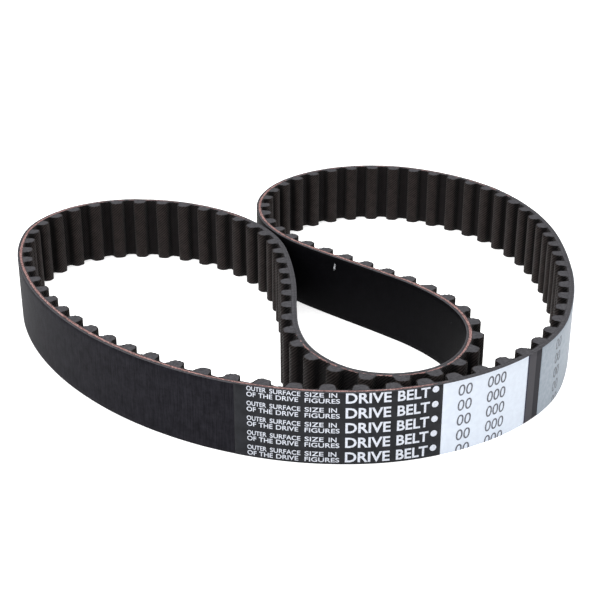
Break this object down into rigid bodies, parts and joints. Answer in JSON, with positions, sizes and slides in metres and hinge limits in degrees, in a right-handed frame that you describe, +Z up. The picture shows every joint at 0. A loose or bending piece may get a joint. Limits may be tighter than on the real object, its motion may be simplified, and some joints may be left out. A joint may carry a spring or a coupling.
{
  "type": "timing belt",
  "caption": "Endless rubber timing belt with rounded-trapezoid teeth, standing on its cut edge in a free loop with one inward fold.",
  "frame": {"origin": "middle of the overall box, on the plane that the belt's lower cut edge stands on", "axes": "+Z up along the belt's width; +Y from the labelled front band towards the far lobes; +X to the right of the labelled face"},
  "size_m": [0.1982, 0.2084, 0.023],
  "materials": {
    "back_rubber": "fine-ground matt",
    "core_rubber": "matt, cut",
    "tooth_rubber": "matt, knife-cut at the edges",
    "cord": "dipped glass-fibre cord",
    "facing": "nylon twill, rubber-faced",
    "black_film": "matt printed film",
    "white_film": "matt printed film",
    "grey_film": "matt printed film",
    "white_ink": "matt ink",
    "grey_ink": "matt ink"
  },
  "bodies": {
    "root": {"back_rubber": "back_rubber", "cord_gum": "core_rubber", "tension_cord_s": "cord", "tension_cord_z": "cord", "tooth_rubber": "tooth_rubber", "facing_fabric": "facing", "label_film": "black_film", "number_panel": "white_film", "date_panel": "grey_film", "handling_print": "white_ink", "origin_print": "white_ink", "title_print": "white_ink", "title_dots": "white_ink", "prefix_print": "grey_ink", "number_print": "grey_ink", "date_print": "grey_ink"}
  },
  "joints": []
}
